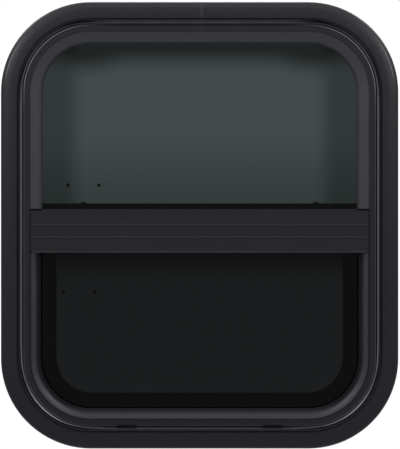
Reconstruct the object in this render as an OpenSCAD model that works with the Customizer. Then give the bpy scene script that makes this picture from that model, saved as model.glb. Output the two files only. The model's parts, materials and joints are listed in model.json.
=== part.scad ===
// Caravan window with a fixed upper pane, a lower pane that slides up, and an insect screen.
// The drawing lies on its back: X is right, Y is up the window and Z points out of the caravan.
// stand_up() turns it upright, with the outer face towards -Y.
// A profile is a list of [inset from the outer edge, height off the outer wall skin].

/* [Whole window] */
// Overall width over the flange
width = 420; // [380:1:620]
// Overall height over the flange
height = 472; // [440:1:700]
// Outer corner radius of the flange
corner_r = 95; // [85:1:120]
// Thickness of the caravan wall that the window clamps
wall = 38; // [36:1:60]

/* [Flange] */
// Width of the flat face of the flange
flange_w = 17.5; // [16:0.1:18.2]
// Height of the flange where it meets the first groove
flange_h = 4.6; // [4.4:0.1:5.2]
// Height of the flange's crowned face at its outer edge
rim_h = 3.5; // [3.2:0.1:4.2]
// Width of the rounding along the outer edge
rim_round = 3; // [1:0.1:4]
// Height of the outer edge below its rounding
edge_h = 1; // [0.6:0.1:1.4]
// Width of the rim that bears on the wall
rim_w = 3; // [2:0.1:4]
// Metal thickness over the foam strip
flange_t = 2; // [1.6:0.1:2.2]
// Width of the foam strip under the flange
foam_w = 12; // [6:0.5:12.5]

/* [Ridge and grooves] */
// Width of the raised ridge
ridge_w = 4; // [3.4:0.1:4.3]
// Height of the ridge off the wall
ridge_h = 6.4; // [5.8:0.1:8]
// Distance of the ridge's crest from its outer side
crest = 2.5; // [1.6:0.1:2.8]
// Width of each groove beside the ridge
groove_w = 1.2; // [0.8:0.1:1.4]
// Depth of the grooves below the flange
groove_d = 1.2; // [0.6:0.1:1.3]
// Metal thickness under the grooves
groove_t = 1; // [0.8:0.1:1.2]
// Width of the fine bead inside the second groove
fine_bead_w = 1.4; // [1:0.1:2]
// Rise of the fine bead above the land
fine_bead_h = 0.4; // [0.2:0.1:0.8]
// Height of the flat land that meets the glazing strips
land_h = 4.4; // [4.2:0.1:5]
// Width of the flat land
land_w = 5.4; // [4.5:0.1:7]

/* [Frame body] */
// Metal thickness of the frame body
metal = 1.6; // [1.2:0.1:2]
// Thickness of the front plate at the land
plate_t = 1.8; // [1.4:0.1:2.1]
// Thickness of the two legs that carry the panes and the screen
leg_t = 1.4; // [1:0.1:1.8]
// Distance of the body's back edge from the inner wall skin
back_gap = 4; // [3:0.1:5]
// Reach of the leg between the fixed and the sliding pane
stop_leg = 16.4; // [14:0.1:17.4]
// Reach of the leg between the sliding pane and the screen
screen_leg = 18.4; // [17:0.1:19]
// Width of the block that takes the clamp screws
race_w = 7; // [6:0.1:7.5]
// Depth of the block that takes the clamp screws
race_d = 10; // [8:0.1:10]
// Width of the slot that the clamp screws bite in
race_slot = 2.8; // [2:0.1:3.2]
// Gap of the butt joint in the frame
joint_gap = 0.3; // [0.2:0.1:1]
// Place of the butt joint, right of the middle
joint_x = 2; // [-20:0.5:20]
// Length of the plate that bridges the butt joint
joiner_l = 60; // [40:1:100]
// Thickness of that plate
joiner_t = 1.5; // [1:0.1:2]

/* [Weep slots] */
// Length of a weep slot
weep_l = 21; // [12:1:30]
// Height of a weep slot
weep_h = 3; // [1.6:0.1:3.4]
// Distance of each weep slot from the window's side
weep_inset = 133; // [120:1:160]

/* [Panes] */
// Thickness of both panes
glass_t = 3.2; // [3:0.1:4]
// Depth of the fixed pane's outer face behind the wall skin
fixed_depth = 1; // [1:0.1:1.2]
// Reach of the fixed pane under the front plate
glass_lap = 2.6; // [1.5:0.1:4]
// Thickness of the rubber behind the fixed pane
bed_t = 2.2; // [1.6:0.1:3]
// Play between two pieces that seat on each other
seat = 0.1; // [0.05:0.05:0.2]
// Play round a piece that slides
slide_play = 0.3; // [0.2:0.1:0.5]

/* [Glazing strips] */
// Drop of the strips' outer edge below the land
strip_step = 0.4; // [0.2:0.1:0.8]
// Width of the strip that shows round the fixed pane
upper_strip_w = 12.9; // [11:0.1:15]
// Width of the rounded nose on its inner edge
nose_w = 3.4; // [1:0.1:4]
// Height of that nose above the pane
nose_h = 2.5; // [1:0.1:3]
// Width of the curve of the strip round the lower pane
lower_strip_w = 7.7; // [6.5:0.1:9]
// Drop of that curve
lower_strip_drop = 8; // [7:0.1:8.3]
// Width of the ledge inside the curve
ledge_w = 3.2; // [2:0.1:4]
// Width of the bead on the ledge's inner edge
ledge_bead_w = 1; // [0.6:0.1:1.4]
// Wall thickness of the lower strip
strip_t = 1.8; // [1.4:0.1:2.2]
// Length of the strips' root under the front plate
root_w = 7.2; // [5:0.1:7.4]
// Gap between the strips' ends and the middle bar
strip_gap = 0.3; // [0.1:0.1:1]

/* [Middle bar] */
// Height of the bar's lower edge above the outer edge of the flange
bar_low = 207.3; // [180:0.1:240]
// Height of the bar
bar_h = 45.9; // [40:0.1:60]
// Metal thickness of the bar
bar_t = 1.4; // [1.2:0.1:1.4]
// Drop of the bar's face below the land
bar_drop = 0.2; // [0:0.1:0.6]
// Height of the lower fine rib above the bar's lower edge
rib_low = 16.2; // [8:0.1:18]
// Height of the upper fine rib above the bar's lower edge
rib_high = 29.5; // [22:0.1:32]
// Width of a fine rib
rib_w = 1.4; // [0.8:0.1:2]
// Rise of a fine rib
rib_rise = 0.4; // [0.2:0.1:0.8]
// Chamfer along the lower edge of the bar
bar_chamfer = 1.8; // [0.8:0.1:2.4]
// Depth of the channel for the fixed pane
bar_channel = 9.1; // [6:0.1:12]
// Drop of the channel's back wall below its front wall
channel_drop = 2; // [1:0.1:4]
// Drop of the notch at both ends of the bar
notch_h = 1.6; // [1:0.1:3]
// Gap between the end of the bar and the frame's land
bar_end_gap = 0.8; // [0.4:0.1:1.2]

/* [Sliding sash] */
// Rise of the sash's top rail above the bar
rail_rise = 6.1; // [4:0.1:10]
// Height of the sash's top rail
rail_h = 19; // [16:0.1:20]
// Wall thickness of the sash's top rail
rail_t = 1.5; // [1:0.1:1.5]
// Reach of the finger pull on the rail's inner face
pull_reach = 6.5; // [4:0.1:8]
// Distance of each latch from the window's side
latch_inset = 85.7; // [70:0.1:110]
// Width of a latch body
latch_w = 22; // [16:1:30]
// Depth of a latch body
latch_d = 5; // [4:0.1:6]
// Width of a latch's thumb tab
tab_w = 6; // [4:0.1:9]
// Depth of a latch's thumb tab
tab_d = 9; // [7:0.1:10]
// Rise of the thumb tab above the rail
tab_rise = 2; // [1:0.1:4]
// Thickness of the run channels' base
run_base = 2.2; // [1.6:0.1:3]
// Thickness of the run channels' lips
run_lip = 2.4; // [1.8:0.1:2.6]
// Reach of the run channels past the leg in front of them
run_reach = 1.2; // [0.6:0.1:1.6]
// Height of the wool pile between bar and rail
pile_h = 6; // [4:0.1:10]

/* [Insect screen] */
// Width of the screen's frame
screen_w = 19; // [16:0.1:21]
// Thickness of the screen's frame
screen_t = 8; // [7.6:0.1:8.2]
// Overlap of the screen's frame on its leg
screen_lap = 3.5; // [2:0.1:3.6]
// Drop of the screen's top edge below the sash's rail
screen_drop = 11; // [10:0.1:14]
// Wall thickness of the screen's frame
screen_metal = 1.4; // [1:0.1:1.6]
// Width of the screen frame's face inside the spline
web_w = 4.5; // [3:0.1:5]
// Diameter of the rubber spline that holds the mesh
spline_d = 3.8; // [3:0.1:3.8]
// Play of the spline in its groove
spline_play = 0.2; // [0.1:0.1:0.4]
// Thickness of the mesh
mesh_t = 0.5; // [0.3:0.1:0.7]
// Width of a turn clip
clip_w = 14; // [10:1:20]
// Thickness of a turn clip's tongue
tongue_t = 2.4; // [1.6:0.1:3]
// Straight overlap of the tongue on the screen's frame
tongue_lap = 4; // [2:0.1:6]
// Height of the two side clips above the outer edge of the flange
clip_y = 150; // [120:1:170]
// Distance of the two lower clips from the window's side
clip_inset = 130; // [110:1:160]

/* [Clamp ring] */
// Inset of the clamp ring's outer edge
ring_inset = 3; // [1:0.1:6]
// Metal thickness of the clamp ring
ring_t = 1.6; // [1.2:0.1:2]
// Height of the ring's rolled rim over the inner wall skin
ring_rim = 3; // [2.6:0.1:4]
// Play of the ring's skirt beside the screw block
skirt_play = 0.2; // [0.1:0.1:0.4]
// Distance of the skirt's edge from the turn clips
skirt_gap = 1.4; // [1:0.1:3]
// Diameter of the clamp screw holes
screw_d = 4.2; // [3.4:0.1:5]
// Spacing of the screws along the top and bottom
screw_pitch_x = 80; // [50:1:90]
// Spacing of the screws up the sides
screw_pitch_y = 106; // [60:1:120]
// Place of the joint in the clamp ring, right of the middle
ring_joint_x = 40; // [20:1:60]

/* [Hidden] */
$fn = 96;
black_metal = "#2b2b2f";
black_rubber = "#1c1c1e";
black_plastic = "#161618";
tinted = [0.16, 0.20, 0.20, 0.75];
overrun = 1;

// The origin is on the rim's bearing face, midway across it at the middle of the bottom
edge_low = -rim_w / 2;
edge_high = edge_low + height;
mid_y = (edge_low + edge_high) / 2;
side_x = width / 2 - corner_r;
low_y = edge_low + corner_r;
high_y = edge_high - corner_r;

// Insets from the outer edge, in the order in which the eye meets them
ridge_a = flange_w + groove_w;
ridge_b = ridge_a + ridge_w;
fine_a = ridge_b + groove_w;
fine_b = fine_a + fine_bead_w;
lip = fine_b + land_w;
strip_a = lip + seat;
root_a = lip - root_w;
fixed_inset = lip - glass_lap;
body_b = ridge_b;
body_a = body_b - metal;
stop_end = body_b + stop_leg;
run_a = body_b + seat;
run_end = stop_end + run_reach;
sash_inset = run_a + run_base + slide_play;
race_b = body_b + race_w;
screw_inset = body_b + race_w / 2;
screen_leg_end = body_b + screen_leg;
screen_a = screen_leg_end - screen_lap;
screen_b = screen_a + screen_w;
groove_b = screen_b - web_w;
groove_a = groove_b - spline_d - spline_play;
spline_mid = (groove_a + groove_b) / 2;
skirt_a = race_b + skirt_play;
skirt_b = skirt_a + ring_t;

// Heights off the outer wall skin, negative towards the room
floor_h = flange_h - groove_d;
under_h = land_h - plate_t;
strip_top = land_h - strip_step;
fixed_front = -fixed_depth;
fixed_back = fixed_front - glass_t;
strip_foot = fixed_front + seat;
stop_front = fixed_back - bed_t;
stop_back = stop_front - leg_t;
run_front = stop_back - seat;
sash_front = run_front - run_lip - slide_play;
sash_back = sash_front - glass_t;
run_back = sash_back - slide_play - run_lip;
leg_front = run_back - seat;
leg_back = leg_front - leg_t;
rail_front = sash_front + seat + rail_t;
rail_back = sash_back - seat - rail_t;
screen_front = leg_back - seat;
screen_back = screen_front - screen_t;
clip_front = leg_back - seat;
clip_back = screen_back - seat - tongue_t;
frame_back = back_gap - wall;
race_front = frame_back + race_d;
ring_back = -wall - ring_rim;
ring_under = ring_back + ring_t;
bar_front = land_h - bar_drop;
bar_back = stop_front + seat;

// Heights up the window, and distances to either side of its middle
bar_y = edge_low + bar_low;
bar_top = bar_y + bar_h;
channel_y = bar_top - bar_channel;
rail_top = bar_top + rail_rise;
rail_low = rail_top - rail_h;
screen_top = rail_top - screen_drop;
bar_end_x = width / 2 - lip - bar_end_gap;
rail_x = width / 2 - run_end - slide_play;
latch_x = width / 2 - latch_inset;

/* Shared shapes */
// Points of an elliptical arc round a centre, from one angle to another
function arc(cx, cy, rx, ry, from, to, steps = 6) =
    [for (i = [0:steps]) let (a = from + (to - from) * i / steps) [cx + rx * cos(a), cy + ry * sin(a)]];

// Height of the flange's hollow underside, which rises from the rim to the body
function ceiling(inset) = let (low = rim_h - flange_t, high = floor_h - groove_t)
    low + (high - low) * (inset - rim_w) / (body_a - rim_w);

// Points of the flange's crowned face, which rises from the rim and levels off at the first groove
function crown(steps = 5) = let (span = flange_w - groove_w / 2 - rim_round)
    [for (i = [1:steps - 1]) [rim_round + span * i / steps, flange_h - (flange_h - rim_h) * pow(1 - i / steps, 3)]];

// Turns the drawing upright, outer face towards -Y
module stand_up() rotate([90, 0, 0]) children();

// A profile drawn in insets, placed outwards from a corner's centre
module outwards() translate([corner_r, 0]) mirror([1, 0]) children();

// A straight run of a profile up the right-hand side, between two heights
module right_run(from, to)
    translate([side_x, to, 0]) rotate([90, 0, 0]) linear_extrude(to - from) outwards() children();

module side_runs(from, to) {
    right_run(from, to) children();
    mirror([1, 0, 0]) right_run(from, to) children();
}

// A straight run along the top or the bottom, between two places from left to right
module cross_run(top, from, to)
    translate([0, top ? high_y : low_y, 0]) mirror([0, top ? 0 : 1, 0])
        translate([from, 0, 0]) rotate([90, 0, 90]) linear_extrude(to - from) outwards() children();

// A profile bent round both corners at the top or the bottom
module corner_pair(top)
    translate([0, top ? high_y : low_y, 0]) mirror([0, top ? 0 : 1, 0])
        for (side = [0, 1]) mirror([side, 0, 0])
            translate([side_x, 0, 0]) rotate_extrude(angle = 90) outwards() children();

// A profile carried up one side, over the top and down the other
module arch_run(from) {
    side_runs(from, high_y) children();
    cross_run(true, -side_x, side_x) children();
    corner_pair(true) children();
}

// A profile carried down one side, along the bottom and up the other
module trough_run(to) {
    side_runs(low_y, to) children();
    cross_run(false, -side_x, side_x) children();
    corner_pair(false) children();
}

// A profile carried all the way round
module round_run() {
    arch_run(low_y) children();
    cross_run(false, -side_x, side_x) children();
    corner_pair(false) children();
}

// The window's outline, taken in by an inset
module outline(inset) {
    translate([-side_x, edge_low + inset]) square([2 * side_x, height - 2 * inset]);
    translate([inset - width / 2, low_y]) square([width - 2 * inset, high_y - low_y]);
    for (x = [-side_x, side_x], y = [low_y, high_y]) translate([x, y]) circle(corner_r - inset);
}

// The part of a flat shape between two heights up the window
module between(from, to) intersection() {
    children();
    translate([-width, from]) square([2 * width, to - from]);
}

// A flat shape made into a plate between two heights off the wall skin
module plate(back, front) translate([0, 0, back]) linear_extrude(front - back) children();

/* Outer frame */
// The extrusion's section: flange, ridge between two grooves, fine bead, land, body, two legs
// for the panes and the screen, and the slotted block for the clamp screws
module frame_profile() polygon(concat(
    [[0, 0]],
    arc(rim_round, edge_h, rim_round, rim_h - edge_h, 180, 90),
    crown(),
    arc(flange_w - groove_w / 2, flange_h - groove_w / 2, groove_w / 2, groove_w / 2, 90, 0, 3),
    [[flange_w, floor_h]],
    arc(ridge_a + crest, floor_h, crest, ridge_h - floor_h, 180, 90),
    arc(ridge_a + crest, floor_h, ridge_w - crest, ridge_h - floor_h, 90, 0),
    [[fine_a, floor_h]],
    arc((fine_a + fine_b) / 2, land_h, fine_bead_w / 2, fine_bead_h, 180, 0),
    [[lip, land_h], [lip, under_h], [body_b, under_h],
     [body_b, stop_front], [stop_end, stop_front], [stop_end, stop_back], [body_b, stop_back],
     [body_b, leg_front], [screen_leg_end, leg_front], [screen_leg_end, leg_back], [body_b, leg_back],
     [body_b, race_front], [race_b, race_front], [race_b, frame_back],
     [screw_inset + race_slot / 2, frame_back], [screw_inset + race_slot / 2, race_front - metal],
     [screw_inset - race_slot / 2, race_front - metal], [screw_inset - race_slot / 2, frame_back],
     [body_a, frame_back], [body_a, ceiling(body_a)], [rim_w, ceiling(rim_w)], [rim_w, 0]]));

// A weep slot with round ends, centred on the groove inside the ridge
module weep_slot() translate([0, edge_low + ridge_b + groove_w / 2, under_h - overrun])
    linear_extrude(ridge_h) {
        square([weep_l - weep_h, weep_h], center = true);
        for (side = [-1, 1]) translate([side * (weep_l - weep_h) / 2, 0]) circle(d = weep_h);
    }

module outer_frame() color(black_metal) stand_up() difference() {
    round_run() frame_profile();
    translate([joint_x - joint_gap / 2, high_y, frame_back - overrun])
        cube([joint_gap, corner_r + overrun, ridge_h - frame_back + 2 * overrun]);
    for (side = [-1, 1]) translate([side * (width / 2 - weep_inset), 0, 0]) weep_slot();
}

// Plate inside the body that bridges the butt joint
module frame_joiner() color("silver") stand_up()
    cross_run(true, joint_x - joiner_l / 2, joint_x + joiner_l / 2)
        translate([body_b + seat, race_front + seat]) square([joiner_t, leg_back - race_front - 2 * seat]);

// Foam strip in the flange's hollow, flush with the rim
module flange_seal() color(black_rubber) stand_up() round_run()
    let (a = rim_w + seat, b = a + foam_w)
        polygon([[a, 0], [a, ceiling(a) - seat], [b, ceiling(b) - seat], [b, 0]]);

/* Glazing */
// The root that both strips have under the front plate, up to the edge of the land
strip_root = [[root_a, strip_foot], [root_a, under_h - seat], [strip_a, under_h - seat], [strip_a, strip_top]];

// Round the fixed pane: a straight slope from the land to a round nose on the glass
module upper_strip_profile() polygon(concat(strip_root,
    arc(strip_a + upper_strip_w - nose_w, strip_foot, nose_w, nose_h, 90, 0)));

module upper_glazing_strip() color(black_rubber) stand_up()
    arch_run(bar_top + strip_gap) upper_strip_profile();

// Round the lower pane: a curve that falls away ever more steeply, then a beaded ledge over the run
module lower_strip_profile() let (
    start = 65,
    rx = lower_strip_w / (1 - cos(start)),
    ry = lower_strip_drop / sin(start),
    low = strip_top - lower_strip_drop,
    wide = strip_a + lower_strip_w,
    edge = wide + ledge_w,
    bead_r = ledge_bead_w / 2,
    foot = stop_front + seat)
    polygon(concat(strip_root,
        arc(wide - rx, low, rx, ry, start, 0),
        arc(edge - bead_r, low - bead_r, bead_r, bead_r, 180, 0),
        [[edge, foot], [wide - strip_t, foot], [wide - strip_t, low], [wide - 2 * strip_t, strip_foot]]));

module lower_glazing_strip() color(black_rubber) stand_up()
    trough_run(bar_y - strip_gap) lower_strip_profile();

module upper_glass() color(tinted) stand_up() plate(fixed_back, fixed_front)
    between(channel_y + seat, edge_high) outline(fixed_inset);

// Rubber bed between the fixed pane and its leg
module upper_glass_seal() color(black_rubber) stand_up() arch_run(bar_top + strip_gap)
    translate([fixed_inset + glass_t / 3, bar_back])
        square([stop_end - fixed_inset - glass_t / 2, bed_t - 2 * seat]);

module lower_glass() color(tinted) stand_up() plate(sash_back, sash_front)
    between(edge_low, rail_top - rail_t - seat) outline(sash_inset);

/* Middle bar */
// Section of the bar, drawn as [height above its lower edge, height off the wall skin]:
// a box with two fine ribs on its face, and above it an open channel for the fixed pane
module bar_section() let (box_h = bar_h - bar_channel) difference() {
    union() {
        polygon([[0, bar_back], [0, bar_front - bar_chamfer], [bar_chamfer, bar_front], [bar_h, bar_front],
            [bar_h, bar_front - bar_t], [box_h, bar_front - bar_t], [box_h, bar_back + bar_t],
            [bar_h - channel_drop, bar_back + bar_t], [bar_h - channel_drop, bar_back]]);
        for (y = [rib_low, rib_high]) translate([y, bar_front]) polygon(arc(0, 0, rib_w / 2, rib_rise, 180, 0));
    }
    translate([bar_t, bar_back + bar_t]) polygon([[0, 0], [0, bar_front - bar_back - 2 * bar_t - bar_chamfer],
        [bar_chamfer, bar_front - bar_back - 2 * bar_t], [box_h - 2 * bar_t, bar_front - bar_back - 2 * bar_t],
        [box_h - 2 * bar_t, 0]]);
}

module middle_bar() color(black_metal) stand_up() difference() {
    translate([-bar_end_x, bar_y, 0]) rotate([90, 0, 90]) linear_extrude(2 * bar_end_x) bar_section();
    for (side = [0, 1]) mirror([side, 0, 0])
        translate([width / 2 - lip - upper_strip_w, bar_top - notch_h, bar_back - overrun])
            cube([upper_strip_w, notch_h + overrun, bar_front - bar_back + 2 * overrun]);
}

module bar_seal() color(black_rubber) stand_up()
    translate([-bar_end_x, channel_y + seat, strip_foot])
        cube([2 * bar_end_x, bar_channel - notch_h - 2 * seat, bar_front - bar_t - strip_foot - seat]);

// Wool pile on the bar's inner face, which the sash's rail brushes
module meeting_pile() color(black_rubber) stand_up()
    translate([-rail_x, bar_top - bar_channel - pile_h, rail_front + seat])
        cube([2 * rail_x, pile_h, bar_back - rail_front - 2 * seat]);

/* Sliding sash */
// The flocked channel that the sash's edge runs in
module run_profile() let (base = run_a + run_base)
    polygon([[run_a, run_front], [run_end, run_front], [run_end, run_front - run_lip],
        [base, run_front - run_lip], [base, run_back + run_lip], [run_end, run_back + run_lip],
        [run_end, run_back], [run_a, run_back]]);

module sash_run_right() color(black_rubber) stand_up() right_run(low_y + seat, high_y) run_profile();
module sash_run_left() color(black_rubber) stand_up() mirror([1, 0, 0])
    right_run(low_y + seat, high_y) run_profile();
module sill_run() color(black_rubber) stand_up() {
    cross_run(false, -side_x, side_x) run_profile();
    corner_pair(false) run_profile();
}

// The rail that grips the top edge of the sliding pane, with a finger pull on the room side.
// Its section is drawn as [height above its lower edge, height off the wall skin].
module rail_section() let (pull_y = rail_h - 2 * rail_t, pull_back = rail_back - pull_reach)
    polygon([[0, rail_back], [0, rail_back + rail_t], [rail_h - rail_t, rail_back + rail_t],
        [rail_h - rail_t, rail_front - rail_t], [0, rail_front - rail_t], [0, rail_front],
        [rail_h, rail_front], [rail_h, rail_back], [pull_y, rail_back], [pull_y, pull_back],
        [pull_y - 2 * rail_t, pull_back], [pull_y - 2 * rail_t, pull_back + rail_t],
        [pull_y - rail_t, pull_back + rail_t], [pull_y - rail_t, rail_back]]);

module sash_top_rail() color(black_metal) stand_up() difference() {
    translate([-rail_x, rail_low, 0]) rotate([90, 0, 90]) linear_extrude(2 * rail_x) rail_section();
    for (side = [-1, 1]) translate([side * latch_x - latch_w / 2 - 2 * seat, rail_low, rail_back - 2 * tab_d])
        cube([latch_w + 4 * seat, 2 * rail_h, 2 * tab_d]);
}

// A spring latch on the inner face of the rail, with a round thumb tab that stands above it
module latch() let (front = rail_back - seat, low = screen_top + screen_drop / 5) {
    translate([-latch_w / 2, low, front - latch_d]) cube([latch_w, rail_top - rail_t - low, latch_d]);
    translate([-tab_w / 2, low + tab_w, front - tab_d])
        cube([tab_w, rail_top + tab_rise - tab_w / 2 - low - tab_w, tab_d]);
    translate([0, rail_top + tab_rise - tab_w / 2, front - tab_d]) cylinder(d = tab_w, h = tab_d);
}

module sash_latch_right() color(black_plastic) stand_up() translate([latch_x, 0, 0]) latch();
module sash_latch_left() color(black_plastic) stand_up() translate([-latch_x, 0, 0]) latch();

/* Insect screen */
// The screen's outline, square across the top, taken in by an inset
module screen_outline(inset)
    between(edge_low, screen_top + screen_a - inset) outline(inset);

// A band that follows the screen's outline, between two insets and two heights
module screen_band(outer, inner, back, front) plate(back, front) difference() {
    screen_outline(outer);
    screen_outline(inner);
}

// The screen's frame: a channel open to its outer edge, with the spline's groove and a rebate
// for the mesh in its inner face
module screen_frame() color(black_metal) stand_up() difference() {
    screen_band(screen_a, screen_b, screen_back, screen_front);
    screen_band(screen_a - overrun, groove_a - screen_metal, screen_back + screen_metal,
        screen_front - screen_metal);
    screen_band(groove_a, groove_b, screen_back - overrun, screen_back + spline_d + spline_play);
    screen_band(groove_b - overrun, screen_b + overrun, screen_back - overrun, screen_back + mesh_t + 2 * seat);
}

module screen_mesh() color("dimgray") stand_up() plate(screen_back + seat, screen_back + seat + mesh_t)
    screen_outline(groove_b + seat);

// The cord pressed into the groove, with a tight bend at each top corner
module screen_spline() color(black_rubber) stand_up() let (
    bend = spline_d / 2 + 2 * seat,
    bend_x = width / 2 - spline_mid - bend,
    bend_y = screen_top + screen_a - spline_mid - bend,
    depth = screen_back + spline_d / 2) {
    trough_run(bend_y) translate([spline_mid, depth]) circle(d = spline_d);
    translate([-bend_x, bend_y + bend, depth]) rotate([0, 90, 0]) cylinder(d = spline_d, h = 2 * bend_x);
    for (side = [0, 1]) mirror([side, 0, 0]) translate([bend_x, bend_y, depth])
        rotate_extrude(angle = 90) translate([bend, 0]) circle(d = spline_d);
}

// A turn clip on the back of the screen leg, whose round tongue laps the screen's frame
module clip() let (
    foot_a = skirt_b + skirt_play,
    foot_b = screen_a - seat,
    tongue_x = corner_r - screen_a - tongue_lap) {
    translate([corner_r - foot_b, -clip_w / 2, clip_back]) cube([foot_b - foot_a, clip_w, clip_front - clip_back]);
    translate([tongue_x, -clip_w / 2, clip_back]) cube([corner_r - foot_b - tongue_x + seat, clip_w, tongue_t]);
    translate([tongue_x, 0, clip_back]) intersection() {
        cylinder(d = clip_w, h = tongue_t);
        translate([-tongue_lap, -clip_w, -overrun]) cube([tongue_lap, 2 * clip_w, tongue_t + 2 * overrun]);
    }
}

module side_clip() translate([side_x, edge_low + clip_y, 0]) clip();
module lower_clip(side) color(black_plastic) stand_up()
    translate([side * (width / 2 - clip_inset), low_y, 0]) rotate(-90) clip();
module screen_clip_right() color(black_plastic) stand_up() side_clip();
module screen_clip_left() color(black_plastic) stand_up() mirror([1, 0, 0]) side_clip();
module screen_clip_lower_left() lower_clip(-1);
module screen_clip_lower_right() lower_clip(1);

/* Clamp ring */
// Section of the ring: a rolled rim on the wall, a flat web and a skirt inside the screw block
module ring_profile() polygon(concat(
    [[ring_inset, -wall]],
    arc(ring_inset + ring_t, ring_under, ring_t, ring_t, 180, 270),
    arc(skirt_b - ring_t, ring_under, ring_t, ring_t, 270, 360),
    [[skirt_b, clip_back - skirt_gap], [skirt_a, clip_back - skirt_gap], [skirt_a, ring_under],
     [ring_inset + ring_t, ring_under], [ring_inset + ring_t, -wall]]));

// Places of the clamp screws: three along each straight side and one in each corner
module at_screws() {
    for (side = [-1, 1], i = [-1:1]) {
        translate([i * screw_pitch_x, mid_y + side * (height / 2 - screw_inset), 0]) children();
        translate([side * (width / 2 - screw_inset), mid_y + i * screw_pitch_y, 0]) children();
    }
    for (x = [-1, 1], y = [-1, 1])
        translate([x * side_x, y > 0 ? high_y : low_y, 0]) rotate(atan2(y, x))
            translate([corner_r - screw_inset, 0, 0]) children();
}

module clamp_ring() color(black_metal) stand_up() difference() {
    round_run() ring_profile();
    translate([ring_joint_x - joint_gap / 2, edge_low - overrun, ring_back - overrun])
        cube([joint_gap, corner_r, wall + ring_rim]);
    at_screws() translate([0, 0, ring_back - overrun]) cylinder(d = screw_d, h = ring_t + 2 * overrun);
}

outer_frame();
frame_joiner();
flange_seal();
upper_glazing_strip();
lower_glazing_strip();
upper_glass();
upper_glass_seal();
middle_bar();
bar_seal();
meeting_pile();
lower_glass();
sash_top_rail();
sash_latch_left();
sash_latch_right();
sash_run_left();
sash_run_right();
sill_run();
screen_frame();
screen_mesh();
screen_spline();
screen_clip_left();
screen_clip_right();
screen_clip_lower_left();
screen_clip_lower_right();
clamp_ring();
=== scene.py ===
"""The looks of a caravan window: finishes for its solids, an insect mesh of real threads, clamp screws,
sealant in the frame's joint, small marks on the panes, and a plain studio. Metres; X is right, Y goes into
the room and Z is up."""
import json
import math

import bmesh
import bpy
import numpy as np
from bpy.props import FloatProperty, FloatVectorProperty, PointerProperty
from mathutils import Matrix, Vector


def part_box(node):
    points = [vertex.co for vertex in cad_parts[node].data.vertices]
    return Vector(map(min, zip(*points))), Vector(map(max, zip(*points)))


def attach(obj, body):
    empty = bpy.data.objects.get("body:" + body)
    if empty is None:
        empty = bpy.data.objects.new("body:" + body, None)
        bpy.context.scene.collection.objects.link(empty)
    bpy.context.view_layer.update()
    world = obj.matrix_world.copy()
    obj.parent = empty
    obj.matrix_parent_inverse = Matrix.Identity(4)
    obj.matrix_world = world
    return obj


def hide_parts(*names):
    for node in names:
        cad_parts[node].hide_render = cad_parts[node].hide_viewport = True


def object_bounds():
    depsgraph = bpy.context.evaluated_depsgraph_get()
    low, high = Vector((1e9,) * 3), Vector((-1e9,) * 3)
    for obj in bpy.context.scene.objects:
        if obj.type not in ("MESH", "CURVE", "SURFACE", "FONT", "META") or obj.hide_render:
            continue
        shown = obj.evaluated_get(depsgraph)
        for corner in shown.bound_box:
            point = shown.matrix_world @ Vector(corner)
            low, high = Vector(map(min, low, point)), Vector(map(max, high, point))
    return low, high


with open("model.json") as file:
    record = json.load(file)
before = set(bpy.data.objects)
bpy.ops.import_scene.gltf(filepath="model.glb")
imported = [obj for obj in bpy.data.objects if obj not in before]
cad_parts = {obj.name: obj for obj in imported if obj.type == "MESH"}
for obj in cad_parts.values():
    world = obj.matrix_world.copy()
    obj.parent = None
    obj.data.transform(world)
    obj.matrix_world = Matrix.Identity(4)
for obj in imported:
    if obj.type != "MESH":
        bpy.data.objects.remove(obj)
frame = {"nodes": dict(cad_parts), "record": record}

bl_info = {
    "name": "Caravan Window",
    "version": (1, 0, 0),
    "blender": (4, 5, 0),
    "location": "View3D > Sidebar > Window",
    "description": "Finishes, insect mesh, screws and studio for a caravan window",
    "category": "Object",
}

CAD_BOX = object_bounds()
LOW, HIGH = (np.array(corner) for corner in CAD_BOX)
WIDTH, HEIGHT = HIGH[0] - LOW[0], HIGH[2] - LOW[2]
MID_Z = (LOW[2] + HIGH[2]) / 2
BAR_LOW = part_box("middle_bar")[0][2]
FLANGE_RADIUS = 0.095
JOINT_X, JOINT_GAP = 0.002, 0.0003  # the frame's butt joint, at the top
SLOT_X, SLOT_HALF = 0.0772, 0.0103  # where painted shade lies over a weep slot: its middle and half its length
LAND_END = 0.0308  # just past the inner edge of the frame's land, in from the window's edge
BODY = "root"
MERGE = 1e-6
SHARP_ANGLE = math.radians(35)


def lengths(name, description, default, low=0.0, high=1.0):
    """A size in metres for a property group."""
    return FloatProperty(
        name=name, description=description, default=default, min=low, max=high, precision=4, unit="LENGTH"
    )


def colour(name, description, default):
    """A linear colour for a property group."""
    return FloatVectorProperty(
        name=name, description=description, default=default, size=3, min=0, max=1, subtype="COLOR"
    )


class WindowSizes(bpy.types.PropertyGroup):
    """Sizes of what is added to the solids, and of the studio."""

    thread: lengths("Thread", "Diameter of the insect mesh's threads", 0.00028)
    warp_pitch: lengths("Warp pitch", "Spacing of the upright threads", 0.00141)
    weft_pitch: lengths("Weft pitch", "Spacing of the level threads", 0.00159)
    screw_head: lengths("Screw head", "Diameter of a clamp screw's head", 0.0074)
    screw_rise: lengths("Screw rise", "Height of a clamp screw's head", 0.0012)
    mark: lengths("Mark", "Diameter of the small marks on the panes", 0.0036)
    camera_distance: lengths(
        "Camera distance", "Distance of the camera from the wall's outer skin", 1.7, 0.5, 10)
    floor_drop: lengths("Floor drop", "Distance of the floor below the window", 0.60, 0, 2)


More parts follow.
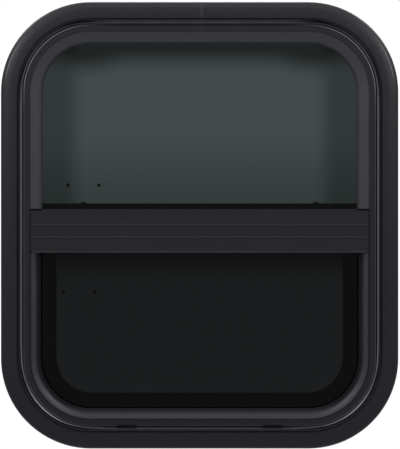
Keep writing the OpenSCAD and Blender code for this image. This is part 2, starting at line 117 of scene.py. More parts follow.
class WindowColours(bpy.types.PropertyGroup):
    """Linear colours of the finishes."""

    coat: colour("Powder coat", "Black powder coat of the metal", (0.0170, 0.0158, 0.0215))
    # colour of the painted highlights on the powder coat, and, brightened, of its painted glint
    highlight_colour: colour("Burnish", "Powder coat where edges and crests are burnished", (0.240, 0.237, 0.252))
    metal: colour("Bare metal", "Mill-finish aluminium", (0.62, 0.63, 0.64))
    rubber: colour("Rubber", "Glazing rubber", (0.0352, 0.0342, 0.0435))
    foam: colour("Foam", "Closed-cell foam", (0.035, 0.035, 0.038))
    flock: colour("Flock", "Flocked run channels", (0.018, 0.018, 0.020))
    plastic: colour("Plastic", "Moulded black plastic", (0.020, 0.020, 0.022))
    thread: colour("Thread", "Coated glass-fibre thread", (0.020, 0.020, 0.022))
    upper_tint: colour("Upper tint", "What the upper pane lets through", (0.0520, 0.0688, 0.0668))
    lower_tint: colour("Lower tint", "What the lower pane lets through", (0.0098, 0.0109, 0.0118))
    steel: colour("Screw steel", "Blackened screw heads", (0.24, 0.24, 0.25))
    mark: colour("Mark", "Black marks on the panes", (0.002, 0.002, 0.002))
    floor: colour("Floor", "Pale floor", (0.80, 0.80, 0.80))


def sizes():
    return bpy.context.scene.window_sizes


def colours():
    return bpy.context.scene.window_colours


class Term:
    """An output of a node that takes part in Python expressions; each operator adds one Math node."""

    def __init__(self, net, out):
        self.net, self.out = net, out

    def math(self, operation, other=0.0):
        return self.net.node("Math", {"operation": operation}, {0: self, 1: other})

    def __add__(self, other):
        return self.math("ADD", other)

    def __sub__(self, other):
        return self.math("SUBTRACT", other)

    def __mul__(self, other):
        return self.math("MULTIPLY", other)

    def __rsub__(self, other):
        return self.net.node("Math", {"operation": "SUBTRACT"}, {0: other, 1: self})

    __radd__ = __add__
    __rmul__ = __mul__

    def step(self, low, high):
        """0 below low and 1 above high, eased between."""
        ends = {"Value": self, "From Min": low, "From Max": high}
        return self.net.node("MapRange", {"interpolation_type": "SMOOTHSTEP"}, ends)

    def band(self, low, high, ease=0.0003):
        """1 between low and high and 0 outside, eased over a short way about each."""
        return self.step(low - ease, low + ease) * (1 - self.step(high - ease, high + ease))


class Net:
    """A node tree that is being built."""

    def __init__(self, tree):
        self.tree = tree
        tree.nodes.clear()

    def node(self, kind, settings=None, values=None, out=0):
        """Adds one node: first its settings, then the values or links of its sockets."""
        made = self.tree.nodes.new("ShaderNode" + kind)
        for key, value in (settings or {}).items():
            setattr(made, key, value)
        for key, value in (values or {}).items():
            if isinstance(value, Term):
                self.tree.links.new(value.out, made.inputs[key])
            else:
                made.inputs[key].default_value = value
        return Term(self, made.outputs[out])

    def noise(self, scale, detail=2.0, roughness=0.5, stretch=(1, 1, 1)):
        """Noise over Object coordinates, about 0.5 on average, with scale in waves a metre."""
        place = self.node("Mapping", None, {"Vector": self.place(), "Scale": stretch})
        return self.node("TexNoise", None, {
            "Vector": place, "Scale": scale, "Detail": detail, "Roughness": roughness})

    def place(self):
        """Object coordinates."""
        return self.node("TexCoord", None, None, "Object")

    def axes(self):
        """The three Object coordinates as terms."""
        split = self.node("SeparateXYZ", None, {0: self.place()})
        return [Term(self, split.out.node.outputs[i]) for i in range(3)]

    def mix(self, factor, low, high):
        """A colour between two colours; a colour Mix node has them at inputs 6 and 7, and its result at 2."""
        return self.node("Mix", {"data_type": "RGBA"}, {0: factor, 6: as_rgba(low), 7: as_rgba(high)}, 2)

    def rays(self):
        """1 for rays that look straight or through glass, and 1 for mirrored rays."""
        path = self.node("LightPath", None, None, "Is Camera Ray").out.node.outputs
        kinds = "Is Camera Ray", "Is Glossy Ray", "Is Transmission Ray"
        camera, glossy, through = (Term(self, path[kind]) for kind in kinds)
        return camera.math("MAXIMUM", through), glossy

    def bump(self, height, distance, strength=1.0):
        """A normal for a height of 0 to 1, with distance as its full height in metres."""
        return self.node("Bump", None, {"Height": height, "Distance": distance, "Strength": strength})

    def surface(self, values):
        """Ends a material in one Principled shader."""
        self.output("Material", self.node("BsdfPrincipled", None, values))

    def output(self, kind, shader):
        """Ends a material or the world in a shader."""
        end = self.tree.nodes.new("ShaderNodeOutput" + kind)
        self.tree.links.new(shader.out, end.inputs["Surface"])


def as_rgba(value):
    """A colour with an opaque alpha, or a term as it is."""
    return value if isinstance(value, Term) else (*value, 1.0)[:4]


def shade(value, factor):
    """A colour made lighter or darker."""
    return tuple(min(1.0, channel * factor) for channel in value)


def new_finish(name):
    """A new material and its empty node tree."""
    material = bpy.data.materials.new(name)
    material.use_nodes = True
    return material, Net(material.node_tree)


# The coat's painted highlights (crown, shoulder, glint, bead) and painted shade (the grooves and the flank's
# lines).
LINES = {
    # line of the frame: (from, to and ease, in from the window's edge), {place along the frame: strength}
    "crown": ((0.0035, 0.0048, 0.0005), {"upper_corner": 0.30}),
    "outer_groove": ((0.0174, 0.0187, 0.0002), {
        "all": 0.65, "level": -0.60, "upper_bend": -0.60, "lower_bend": -0.60}),
    "flank": ((0.0187, 0.0211, 0.0003), {
        "all": 0.15, "level": 0.15, "upper_bend": 0.70, "lower_bend": 0.25, "foot": -0.20}),
    "flank_edge": ((0.0187, 0.0199, 0.0003), {"level": 0.5}),
    "flank_crease": ((0.0196, 0.0209, 0.0003), {"lower_bend": 0.5}),
    "shoulder": ((0.0214, 0.0226, 0.0002), {
        "all": 0.17, "side": 0.30, "level": 0.20, "upper_bend": -0.15, "lower_bend": 0.53, "foot": -0.33}),
    "glint": ((0.0214, 0.0225, 0.0003), {"lower_corner": 0.6}),
    "inner_groove": ((0.0227, 0.0240, 0.0002), {"all": 0.55, "foot": -0.25}),
    "bead": ((0.0243, 0.0251, 0.0002), {"side": 0.15, "upper_bend": 0.60}),
}
# how much further in the ridge's lines and the inner groove's lie at places along the frame
RIDGE_SHIFT = {"level": 0.0004, "upper_bend": 0.0004, "lower_bend": 0.0009}
GROOVE_SHIFT = {"level": 0.0010}
# strengths of the painted highlights beside the joint and along the bar's lower edge, of the painted shade
# over the weep slots, and how much brighter the painted glint is
JOINT_SHINE, BAR_SHINE, SLOT_SHADE = 0.10, 0.13, 0.9
GLINT_GAIN = 2.6


def powder_coat():
    """Satin black powder coat: fine orange peel, a slow drift of tone and faint handling marks. It has
    painted highlights along the ridge's inner shoulder, most at the lower bends, on the fine bead, beside the
    joint, on the flange's crown at the upper corners and along the middle bar's lower edge, and a painted
    glint at the lower corners. Painted shade lies in the grooves, on the ridge's outer flank and round the
    weep slots."""
    material, net = new_finish("powder_coat")
    base, highlight_colour = tuple(colours().coat), tuple(colours().highlight_colour)
    drift = net.noise(9, 3)
    speck = net.noise(2600, 1)
    tone = (drift - 0.5) * 0.5 + (speck - 0.5) * 0.5 + 0.5
    peel = net.noise(850, 2, 0.4)
    marks = net.noise(60, 4, 0.7, (1, 1, 4)).step(0.60, 0.75)
    painted_highlight, glint, shadow = frame_painted_light(net)
    satin = net.mix(tone, shade(base, 0.78), shade(base, 1.25))
    # the painted highlights and the painted glint set the coat's colour
    coat = net.node("BsdfPrincipled", None, {
        "Base Color": net.mix(glint, net.mix(painted_highlight, satin, highlight_colour), shade(highlight_colour, GLINT_GAIN)),
        "Roughness": peel * 0.08 + marks * 0.05 + 0.29,
        "Specular IOR Level": 0.42,
        "Normal": net.bump(peel, 0.00006, 0.35),
    })
    # the unlit black is mixed in as painted shade
    net.output("Material", net.node("MixShader", None, {0: shadow, 1: coat, 2: unlit(net)}))
    return material


def frame_painted_light(net):
    """The coat's painted highlight, painted glint and painted shade, each from 0 to 1: the lines of the frame
    on its outer face, as strong as they are at each place along it, with the joint, the bar's edge and the
    slots."""
    x, y, z = net.axes()
    inset = edge_distance(net)
    places = frame_places(x, z)
    ridge, groove = inset - weigh(places, RIDGE_SHIFT), inset - weigh(places, GROOVE_SHIFT)

    def line(name, distance):
        span, strengths = LINES[name]
        return distance.band(*span) * weigh(places, strengths)

    face = (0 - y).step(0.0028, 0.0034)
    joint = (x - JOINT_X).math("ABSOLUTE").band(0.0004, 0.0013, 0.0002) * (HIGH[2] - z).band(-1, LAND_END)
    bar_edge = (z - BAR_LOW).band(-0.0002, 0.0011, 0.0002) * (0.002 - y).step(0, 0.001)
    slots = (x.math("ABSOLUTE") - SLOT_X).math("ABSOLUTE").band(-1, SLOT_HALF)
    slots = slots * inset.band(0.0226, 0.0254) * places["low"]
    # painted highlights on the ridge's shoulder, the bead and beside the joint, on the bar's lower edge and
    # on the crown
    painted_face_highlight = (line("shoulder", ridge) + line("bead", inset) + joint * JOINT_SHINE) * face * (1 - slots)
    painted_highlight = painted_face_highlight + bar_edge * inset.step(0.0312, 0.0318) * BAR_SHINE
    painted_highlight = painted_highlight + line("crown", inset) * (0 - y).step(0, 0.001)
    # painted shade in the grooves and on the ridge's outer flank, and over the weep slots
    dark = line("outer_groove", inset) + line("inner_groove", groove) + line("flank", ridge)
    dark = dark + line("flank_edge", inset) + line("flank_crease", ridge)
    return painted_highlight, line("glint", ridge) * face, dark.math("MAXIMUM", slots * SLOT_SHADE) * face


def frame_places(x, z):
    """Masks of places along the frame: its sides, level runs, bends and corners, the foot, which is the
    lower level run, and all that lies low."""
    out, up = x.math("ABSOLUTE"), (z - MID_Z).math("ABSOLUTE")
    low, level = low_half(z), level_runs(x)
    bend = up.step(0.120, 0.160) * out.step(0.090, 0.130)
    return {
        "all": 1,
        "low": low,
        "side": out.step(0.120, 0.165),
        "level": level,
        "foot": level * low,
        "upper_bend": bend * (1 - low),
        "lower_bend": bend * low,
        "upper_corner": up.band(0.156, 0.192, 0.012) * out.step(0.165, 0.185) * (1 - low),
        "lower_corner": up.step(0.165, 0.190) * out.step(0.140, 0.165) * low,
    }


def low_half(z):
    """1 below the window's middle."""
    return (MID_Z - z).step(0, 0.001)


def level_runs(x):
    """1 between the corners at the left and those at the right."""
    return 1 - x.math("ABSOLUTE").step(0.115, 0.150)


def weigh(places, strengths):
    """The sum of the masks of places, each times its strength."""
    first, *others = (places[place] * strength for place, strength in strengths.items())
    return sum(others, first)


def unlit(net):
    """A black without shine, mixed in as painted shade on the coat and the glazing rubber."""
    return net.node("BsdfPrincipled", None, {
        "Base Color": (0.0015, 0.0015, 0.0018, 1.0), "Roughness": 0.9, "Specular IOR Level": 0.0})


def bare_metal():
    """Mill-finish aluminium with drawing lines along X."""
    material, net = new_finish("mill_metal")
    base = tuple(colours().metal)
    lines = net.noise(900, 3, 0.6, (0.03, 1, 1))
    net.surface({
        "Base Color": net.mix(lines, shade(base, 0.8), shade(base, 1.1)),
        "Metallic": 1.0,
        "Roughness": lines * 0.25 + 0.25,
        "Normal": net.bump(lines, 0.00005, 0.4),
    })
    return material


def rubber():
    """Moulded glazing rubber, matte, with a fine grain and a bloom in patches. It carries painted shade, an
    unlit black mixed in, along its outer edge, on the upper strip's nose, and on the lower strip, most on its
    ledge and along its foot."""
    material, net = new_finish("glazing_rubber")
    base = tuple(colours().rubber)
    bloom = net.noise(14, 4, 0.6)
    grain = net.noise(1700, 2, 0.5)
    inset = edge_distance(net)
    x, _, z = net.axes()
    low, level = low_half(z), level_runs(x)
    # painted shade along the outer edge, on the upper strip's nose, on the lower strip's ledge and along its
    # foot
    edge = inset.band(0.0300, 0.0318) * (low * 0.15 + 0.30)
    rim = (1 - inset.step(0.0312, 0.0350)) * low * 0.35
    nose = inset.step(0.0395, 0.0440) * (1 - low) * 0.40
    ledge = inset.step(0.0350, 0.0402) * low * (0.75 - level * 0.2)
    body = low * (level * 0.24 + 0.10)
    painted_rubber_shade = (edge + rim + nose + ledge).math("MAXIMUM", body)
    clean = net.node("BsdfPrincipled", None, {
        "Base Color": net.mix(bloom * 0.7 + grain * 0.3, shade(base, 0.8), shade(base, 1.3)),
        "Roughness": bloom * 0.12 + grain * 0.1 + 0.36,
        "Specular IOR Level": 0.5,
        "Normal": net.bump(grain, 0.00005, 0.5),
    })
    net.output("Material", net.node("MixShader", None, {0: painted_rubber_shade, 1: clean, 2: unlit(net)}))
    return material


def foam():
    """Closed-cell foam with open pores on its cut faces."""
    material, net = new_finish("foam")
    base = tuple(colours().foam)
    cells = net.node("TexVoronoi", {"feature": "DISTANCE_TO_EDGE"}, {"Vector": net.place(), "Scale": 1400.0})
    wall = cells.step(0.02, 0.22)
    net.surface({
        "Base Color": net.mix(wall, shade(base, 1.6), shade(base, 0.6)),
        "Roughness": 0.92,
        "Normal": net.bump(1 - wall, 0.0003, 0.7),
    })
    return material


def flock():
    """Flocked pile: short upright fibres that scatter at grazing angles."""
    material, net = new_finish("run_pile")
    base = tuple(colours().flock)
    fibre = net.noise(3800, 2, 0.8)
    net.surface({
        "Base Color": net.mix(fibre, shade(base, 0.4), shade(base, 1.8)),
        "Roughness": 0.95,
        "Sheen Weight": 0.25,
        "Sheen Roughness": 0.4,
        "Normal": net.bump(fibre, 0.0003, 0.8),
    })
    return material


def plastic():
    """Moulded black plastic with a spark-eroded texture."""
    material, net = new_finish("black_plastic")
    base = tuple(colours().plastic)
    grain = net.noise(2200, 3, 0.6)
    net.surface({
        "Base Color": net.mix(grain, shade(base, 0.7), shade(base, 1.4)),
        "Roughness": grain * 0.15 + 0.40,
        "Normal": net.bump(grain, 0.00008, 0.5),
    })
    return material


def screw_steel():
    """Blackened steel with the black gone in spots from wear."""
    material, net = new_finish("screw_steel")
    base = tuple(colours().steel)
    wear = net.noise(700, 4, 0.7).step(0.52, 0.72)
    net.surface({
        "Base Color": net.mix(wear, base, shade(base, 3.2)),
        "Metallic": 1.0,
        "Roughness": 0.5 - wear * 0.15,
    })
    return material


def edge_distance(net):
    """Distance in from the window's outer edge: that of a rectangle with round corners."""
    x, _, z = net.axes()
    across = x.math("ABSOLUTE") - (WIDTH / 2 - FLANGE_RADIUS)
    up = (z - MID_Z).math("ABSOLUTE") - (HEIGHT / 2 - FLANGE_RADIUS)
    outside = across.math("MAXIMUM", 0.0), up.math("MAXIMUM", 0.0)
    corner = (outside[0] * outside[0] + outside[1] * outside[1]).math("SQRT")
    inside = across.math("MAXIMUM", up).math("MINIMUM", 0.0)
    return FLANGE_RADIUS - corner - inside


def upper_pane():
    """Tinted glass with painted shadow in soft bands along its sides and top, and painted shade a little
    towards its lower edge. The top band is deepest near the corners."""
    material, net = new_finish("upper_pane")
    x, _, z = net.axes()
    out = x.math("ABSOLUTE")
    side = (WIDTH / 2 - out).step(0.064, 0.091) * 0.46 + 0.54
    bulge = out.step(0.070, 0.120) * (1 - out.step(0.125, 0.150)) * 0.007
    top = (HIGH[2] - z - bulge).step(0.046, 0.077) * 0.80 + 0.20
    low = z.step(0.245, 0.345) * 0.41 + 0.59
    tinted_glass(net, tuple(colours().upper_tint), side * top * low)
    return material


def lower_pane():
    """Darker tinted glass, with a soft band of painted shade below the middle bar."""
    material, net = new_finish("lower_pane")
    z = net.axes()[2]
    tinted_glass(net, tuple(colours().lower_tint), 1 - z.step(0.168, 0.208) * 0.85)
    return material


def tinted_glass(net, tint, tone):
    """Float glass with a trace of wiping marks; tone, which holds painted shade, scales what it lets through.
    """
    smear = net.noise(22, 3, 0.6)
    net.surface({
        "Base Color": net.mix(tone, (0, 0, 0), tint),
        "Roughness": smear.step(0.45, 0.8) * 0.02 + 0.01,
        "IOR": 1.5,
        "Transmission Weight": 1.0,
        "Normal": net.bump(smear, 0.00002, 0.15),
    })


def mesh_from_grid(name, points, material, close_u=False, close_v=False):
    """A piece whose faces join the neighbours of one or more grids of points, [grid, u, v, xyz]. Points
    that fall together are merged, so a row at one place closes a pole."""
    points = np.asarray(points, dtype=float)
    if points.ndim == 3:
        points = points[None]
    grids, nu, nv, _ = points.shape
    u = np.arange(nu if close_u else nu - 1)
    v = np.arange(nv if close_v else nv - 1)
    uu, vv = np.meshgrid(u, v, indexing="ij")
    corners = [(uu, vv), ((uu + 1) % nu, vv), ((uu + 1) % nu, (vv + 1) % nv), (uu, (vv + 1) % nv)]
    quad = np.stack([a * nv + b for a, b in corners], axis=-1).reshape(-1, 4)
    faces = (quad[None] + (np.arange(grids) * nu * nv)[:, None, None]).reshape(-1, 4)
    mesh = bpy.data.meshes.new(name)
    mesh.from_pydata(points.reshape(-1, 3).tolist(), [], faces.tolist())
    shell = bmesh.new()
    shell.from_mesh(mesh)
    bmesh.ops.remove_doubles(shell, verts=shell.verts, dist=MERGE)
    bmesh.ops.recalc_face_normals(shell, faces=shell.faces)
    shell.to_mesh(mesh)
    shell.free()
    mesh.polygons.foreach_set("use_smooth", np.full(len(mesh.polygons), True))
    mesh.set_sharp_from_angle(angle=SHARP_ANGLE)
    mesh.materials.append(material)
    piece = bpy.data.objects.new(name, mesh)
    bpy.context.scene.collection.objects.link(piece)
    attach(piece, BODY)
    return piece


def give(material, *nodes):
    """Puts one finish on CAD nodes."""
    for name in nodes:
        slots = frame["nodes"][name].data.materials
        slots.clear()
        slots.append(material)


class WINDOW_OT_metal(bpy.types.Operator):
    """Powder-coat the frame, bar, rail, screen frame and clamp ring"""

    bl_idname = "window.metal"
    bl_label = "Metal"

    def execute(self, context):
        give(powder_coat(), "outer_frame", "middle_bar", "sash_top_rail", "screen_frame", "clamp_ring")
        give(bare_metal(), "frame_joiner")
        return {"FINISHED"}


class WINDOW_OT_seals(bpy.types.Operator):
    """Finish the glazing strips, seals, foam and run channels"""

    bl_idname = "window.seals"
    bl_label = "Seals"

    def execute(self, context):
        give(rubber(), "upper_glazing_strip", "lower_glazing_strip", "upper_glass_seal", "bar_seal",
             "screen_spline")
        give(foam(), "flange_seal")
        give(flock(), "sash_run_left", "sash_run_right", "sill_run", "meeting_pile")
        return {"FINISHED"}


class WINDOW_OT_latches(bpy.types.Operator):
    """Finish the latches and turn clips"""

    bl_idname = "window.latches"
    bl_label = "Latches and clips"

    def execute(self, context):
        give(plastic(), "sash_latch_left", "sash_latch_right", "screen_clip_left", "screen_clip_right",
             "screen_clip_lower_left", "screen_clip_lower_right")
        return {"FINISHED"}


class WINDOW_OT_panes(bpy.types.Operator):
    """Tint the two panes"""

    bl_idname = "window.panes"
    bl_label = "Panes"

    def execute(self, context):
        give(upper_pane(), "upper_glass")
        give(lower_pane(), "lower_glass")
        return {"FINISHED"}


class WINDOW_OT_insect_mesh(bpy.types.Operator):
    """Weave the insect mesh from upright and level threads"""

    bl_idname = "window.insect_mesh"
    bl_label = "Insect mesh"

    def execute(self, context):
        low, high = (np.array(corner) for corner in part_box("screen_mesh"))
        thread = sizes().thread
        material, net = new_finish("mesh")
        base = tuple(colours().thread)
        fleck = net.noise(1500, 2)
        net.surface({
            "Base Color": net.mix(fleck, shade(base, 0.7), shade(base, 1.4)),
            "Roughness": fleck * 0.2 + 0.4,
        })
        middle = (low[1] + high[1]) / 2
        apart = thread * 0.4  # each layer's distance from the middle, so crossing threads press together
        warp = threads_across(low, high, sizes().warp_pitch, thread, middle + apart, upright=True)
        weft = threads_across(low, high, sizes().weft_pitch, thread, middle - apart, upright=False)
        threads = np.concatenate([warp, weft])
        piece = mesh_from_grid("insect_mesh", threads, material, close_v=True)
        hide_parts("screen_mesh")
        return {"FINISHED"}


def threads_across(low, high, pitch, thread, depth, upright):
    """Square threads at a pitch, whose diagonal is the thread's diameter. Each is cut where the mesh's
    rounded lower corners end: the edge there is a circle about the corner's centre."""
    radius = FLANGE_RADIUS - (low[0] - LOW[0])
    centre_x, centre_z = high[0] - radius, low[2] + radius
    if upright:
        at = np.arange(low[0] + pitch, high[0], pitch)
        reach = np.clip(np.abs(at) - centre_x, 0, radius)
        start = centre_z - np.sqrt(radius**2 - reach**2)
        stop = np.full(len(at), high[2])
    else:
        at = np.arange(low[2] + pitch, high[2], pitch)
        reach = np.clip(centre_z - at, 0, radius)
        stop = centre_x + np.sqrt(radius**2 - reach**2)
        start = -stop
    turn = math.pi / 2 * np.arange(4) + math.pi / 4
    side, out = np.cos(turn) * thread / 2, np.sin(turn) * thread / 2
    along = np.stack([start, start, stop, stop], axis=1)[:, :, None] + np.zeros(4)
    width = np.array([0, 1, 1, 0])[None, :, None]
    across = at[:, None, None] + side * width
    deep = depth + out * width + np.zeros_like(across)
    order = [across, deep, along] if upright else [along, deep, across]
    return np.stack(order, axis=-1)


class WINDOW_OT_clamp_screws(bpy.types.Operator):
    """Drive a cross-recessed screw into each hole of the clamp ring"""

    bl_idname = "window.clamp_screws"
    bl_label = "Clamp screws"

    def execute(self, context):
        screws = np.stack([screw_head(place) for place in screw_places()])
        mesh_from_grid("clamp_screws", screws, screw_steel(), close_u=True)
        return {"FINISHED"}


def screw_places():
    """Centres of the screw heads on the room side: the stated holes, and one like them in each corner."""
    mounts = frame["record"]["mounts"]
    stated = [mount["pos_m"] for mount in mounts if mount["kind"] == "bore"]
    reach = FLANGE_RADIUS - (WIDTH / 2 - max(place[0] for place in stated))
    centre_x, centre_z = WIDTH / 2 - FLANGE_RADIUS, HEIGHT / 2 - FLANGE_RADIUS
    slant = reach * math.sqrt(0.5)
    corners = [
        (sx * (centre_x + slant), stated[0][1], MID_Z + sz * (centre_z + slant))
        for sx in (-1, 1) for sz in (-1, 1)
    ]
    return np.array(stated + corners)


def screw_head(place):
    """A low dome turned about Y, whose height falls by a share that grows with the square of the radius. A
    cross is pressed in where the nearer of its two arms is within the arm's half width, and the underside
    closes it."""
    radius, rise = sizes().screw_head / 2, sizes().screw_rise
    rings, sides, fall = 17, 48, 0.7
    arm_half, arm_reach, arm_depth = radius * 0.15, 0.6, rise * 0.6
    share, x, z = disc(np.append(np.linspace(0, 1, rings), [1.0, 0.0]), sides, radius)
    height = rise * (1 - fall * share**2)
    recess = (np.minimum(np.abs(x), np.abs(z)) < arm_half) & (share < arm_reach)
    height = np.where(recess, height - arm_depth, height)
    height[:, -2:] = 0
    return np.stack([place[0] + x, HIGH[1] + height, place[2] + z], axis=-1)


def disc(shares, sides, radius):
    """A grid turned about Y, with a row for each side and a column for each share of the radius: the
    share, X and Z of its points."""
    share, turn = np.meshgrid(shares, np.linspace(0, 2 * math.pi, sides, endpoint=False))
    return share, share * radius * np.cos(turn), share * radius * np.sin(turn)


class WINDOW_OT_joint_sealant(bpy.types.Operator):
    """Fill the frame's butt joint with a thin line of sealant across the flange"""

    bl_idname = "window.joint_sealant"
    bl_label = "Joint sealant"

    def execute(self, context):
        material, net = new_finish("joint_sealant")
        dark, light = (0.012, 0.012, 0.014), (0.024, 0.024, 0.027)
        grain = net.noise(2000, 2)
        net.surface({
            "Base Color": net.mix(grain, dark, light),
            "Roughness": grain * 0.2 + 0.45,
        })
        mesh_from_grid("joint_sealant", sealant_line(), material, close_v=True)
        return {"FINISHED"}


def sealant_line():
    """A closed strip in the joint whose front lies a little under the flange's crowned face: the face's
    height is the full one less its drop times the cube of the share still left to the first groove, and it
    falls as a quarter ellipse over the outermost 3 mm. Both ends are drawn together to a line."""
    full, drop, lip = 0.0046, 0.0011, 0.0015  # the face's height, its drop at the edge, and the edge's height
    start, edge, groove = 0.0005, 0.003, 0.0169
    under, back, clear = 0.00025, 0.0006, 0.00001
    edge_rows, face_rows = 12, 16
    inset = np.concatenate([np.linspace(start, edge, edge_rows), np.linspace(edge, groove, face_rows)[1:]])
    crown = full - drop * (1 - np.clip((inset - edge) / (groove - edge), 0, 1)) ** 3
    fall = (crown - lip) * (1 - np.sqrt(1 - (1 - np.clip(inset / edge, 0, 1)) ** 2))
    front = crown - fall - under
    half = JOINT_GAP / 2 - clear
    x = JOINT_X + half * np.array([-1, 1, 1, -1]) + np.zeros((len(inset), 1))
    y = -np.stack([front, front, np.full_like(front, back), np.full_like(front, back)], axis=1)
    z = (HIGH[2] - inset)[:, None] + np.zeros(4)
    line = np.stack([x, y, z], axis=-1)
    ends = [row.mean(axis=0) + np.zeros((1, 4, 3)) for row in (line[0], line[-1])]
    return np.concatenate([ends[0], line, ends[1]])


class WINDOW_OT_pane_marks(bpy.types.Operator):
    """Fire two small round marks onto the lower left of each pane"""

    bl_idname = "window.pane_marks"
    bl_label = "Pane marks"

    def execute(self, context):
        material, net = new_finish("pane_marks")
        base = tuple(colours().mark)
        grain = net.noise(2500, 2)
        net.surface({
            "Base Color": net.mix(grain, shade(base, 0.6), shade(base, 1.6)),
            "Roughness": grain * 0.2 + 0.5,
            "Specular IOR Level": 0.08,
        })
        dots = [mark_dot(x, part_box(node)[0][1], z) for node, places in MARKS.items() for x, z in places]
        mesh_from_grid("pane_marks", np.stack(dots), material, close_u=True)
        return {"FINISHED"}


MARKS = {
    # node: (x, z) of each mark on its outer face
    "upper_glass": ((-0.1395, 0.2771), (-0.1067, 0.2771)),
    "lower_glass": ((-0.1451, 0.1632), (-0.1121, 0.1632)),
}


def mark_dot(x, face, z):
    """A round film turned about Y, whose thickness is that of the enamel times one minus the fourth power
    of the radius; its underside closes it just clear of the glass."""
    rings, sides, film, clear = 7, 32, 0.00004, 0.00001
    share, across, up = disc(np.append(np.linspace(0, 1, rings), 0.0), sides, sizes().mark / 2)
    height = film * (1 - share**4)
    height[:, -2:] = 0
    return np.stack([x + across, face - clear - height, z + up], axis=-1)


class WINDOW_OT_stage(bpy.types.Operator):
    """Set up the floor, the soft lights, the pale background and the camera"""

    bl_idname = "window.stage"
    bl_label = "Studio"

    def execute(self, context):
        scene = context.scene
        scene.view_settings.view_transform = "Standard"
        pale_world(scene)
        pale_floor()
        soft_lights()
        place_camera(scene)
        return {"FINISHED"}


AMBIENT = 0.47
SIDE_MIRRORED, FRONT_MIRRORED = 0.20, 0.11
FLOOR_GLOW = 0.65


def pale_world(scene):
    """White where the camera looks at it straight or through glass. As a light it is a plain level, and a
    reflection shows it dimmer, most so in front, where the studio is unlit."""
    world = bpy.data.worlds.new("studio")
    world.use_nodes = True
    scene.world = world
    net = Net(world.node_tree)
    seen, glossy = net.rays()
    direction = net.node("TexCoord", None, None, "Generated")
    split = net.node("SeparateXYZ", None, {0: direction})
    y = Term(net, split.out.node.outputs[1])
    front = (y * -1).step(0.35, 0.97)
    mirrored = SIDE_MIRRORED - front * (SIDE_MIRRORED - FRONT_MIRRORED)
    level = seen + (1 - seen) * (glossy * mirrored + (1 - glossy) * AMBIENT)
    background = net.node("Background", None, {"Color": (1, 1, 1, 1), "Strength": level})
    net.output("World", background)


def pale_floor():
    """A wide pale floor below the window; it looks white and keeps the window's shadow."""
    z = LOW[2] - sizes().floor_drop
    side, front, back = 12.0, -0.5, 12.0
    material, net = new_finish("floor")
    mottle = net.noise(3, 2)
    base = tuple(colours().floor)
    lit = net.node("BsdfPrincipled", None, {
        "Base Color": net.mix(mottle, shade(base, 0.98), base), "Roughness": 0.8})
    seen, _ = net.rays()
    glow = net.node("Emission", None, {"Color": (1, 1, 1, 1), "Strength": FLOOR_GLOW})
    both = net.node("AddShader", None, {0: lit, 1: glow})
    net.output("Material", net.node("MixShader", None, {0: seen, 1: lit, 2: both}))
    mesh = bpy.data.meshes.new("floor")
    corners = [(-side, front, z), (side, front, z), (side, back, z), (-side, back, z)]
    mesh.from_pydata(corners, [], [(0, 1, 2, 3)])
    mesh.materials.append(material)
    floor = bpy.data.objects.new("floor", mesh)
    bpy.context.scene.collection.objects.link(floor)


LAMPS = {
    # name: (place, width, height, watts)
    "top_softbox": ((0.0, -0.60, 1.25), 1.8, 0.85, 5.8),
    "left_key": ((-0.96, -1.74, 0.92), 0.4, 0.4, 3.0),
    "right_key": ((0.96, -1.74, 0.92), 0.4, 0.4, 3.0),
    "left_rim": ((-1.25, -0.32, 1.50), 0.7, 0.7, 11.0),
    "right_rim": ((1.25, -0.32, 1.50), 0.7, 0.7, 11.0),
    "room_fill": ((0.4, 1.8, 1.3), 1.4, 1.0, 16.0),
}


def soft_lights():
    """Rectangular lamps, each turned towards the middle of the window."""
    target = Vector((0, 0, MID_Z))
    for name, (place, wide, high, watts) in LAMPS.items():
        lamp = bpy.data.lights.new(name, "AREA")
        lamp.shape = "RECTANGLE"
        lamp.size, lamp.size_y, lamp.energy = wide, high, watts
        holder = bpy.data.objects.new(name, lamp)
        holder.location = place
        holder.rotation_euler = (target - Vector(place)).to_track_quat("-Z", "Y").to_euler()
        bpy.context.scene.collection.objects.link(holder)


PHOTO_WIDE, PHOTO_HIGH = 400, 449
WINDOW_LEFT, WINDOW_RIGHT = 1.1, 398.15
WINDOW_TOP, WINDOW_BOTTOM = 2.3, 448.4


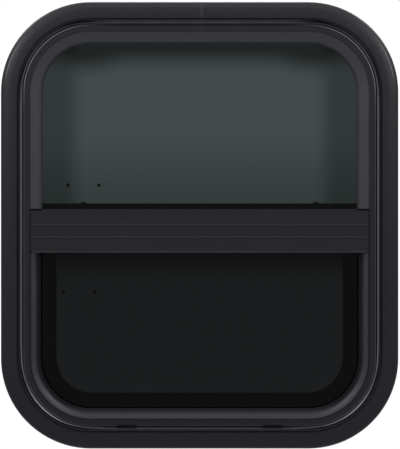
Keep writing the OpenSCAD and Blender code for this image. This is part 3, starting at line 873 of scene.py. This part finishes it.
def place_camera(scene):
    """Square on to the window, with the window's edges at the photograph's pixels."""
    pixel = WIDTH / (WINDOW_RIGHT - WINDOW_LEFT)
    right = (PHOTO_WIDE - WINDOW_LEFT - WINDOW_RIGHT) / 2 * pixel
    up = (WINDOW_TOP + WINDOW_BOTTOM - PHOTO_HIGH) / 2 * pixel
    distance = sizes().camera_distance
    lens = bpy.data.cameras.new("camera")
    lens.sensor_fit = "AUTO"
    lens.sensor_width = 36.0
    lens.lens = lens.sensor_width * distance / (PHOTO_HIGH * pixel)
    camera = bpy.data.objects.new("camera", lens)
    camera.location = (right, -distance, MID_Z + up)
    camera.rotation_euler = (math.pi / 2, 0, 0)
    scene.collection.objects.link(camera)
    scene.camera = camera


PIECES = (WINDOW_OT_metal, WINDOW_OT_seals, WINDOW_OT_latches, WINDOW_OT_panes, WINDOW_OT_insect_mesh,
          WINDOW_OT_clamp_screws, WINDOW_OT_joint_sealant, WINDOW_OT_pane_marks)


class WINDOW_PT_panel(bpy.types.Panel):
    """Buttons for each group of pieces, and the sizes and colours they use"""

    bl_label = "Caravan Window"
    bl_idname = "WINDOW_PT_panel"
    bl_space_type = "VIEW_3D"
    bl_region_type = "UI"
    bl_category = "Window"

    def draw(self, context):
        for group in (context.scene.window_sizes, context.scene.window_colours):
            for key in group.__annotations__:
                self.layout.prop(group, key)
        for piece in (WINDOW_OT_stage, *PIECES):
            self.layout.operator(piece.bl_idname)


CLASSES = (WindowSizes, WindowColours, WINDOW_OT_stage, *PIECES, WINDOW_PT_panel)


def register():
    for cls in CLASSES:
        bpy.utils.register_class(cls)
    bpy.types.Scene.window_sizes = PointerProperty(type=WindowSizes)
    bpy.types.Scene.window_colours = PointerProperty(type=WindowColours)


def unregister():
    del bpy.types.Scene.window_colours
    del bpy.types.Scene.window_sizes
    for cls in reversed(CLASSES):
        bpy.utils.unregister_class(cls)


def main():
    register()
    bpy.ops.window.stage()
    bpy.ops.window.metal()
    bpy.ops.window.seals()
    bpy.ops.window.latches()
    bpy.ops.window.panes()
    bpy.ops.window.insect_mesh()
    bpy.ops.window.clamp_screws()
    bpy.ops.window.joint_sealant()
    bpy.ops.window.pane_marks()


if __name__ == "__main__":
    main()
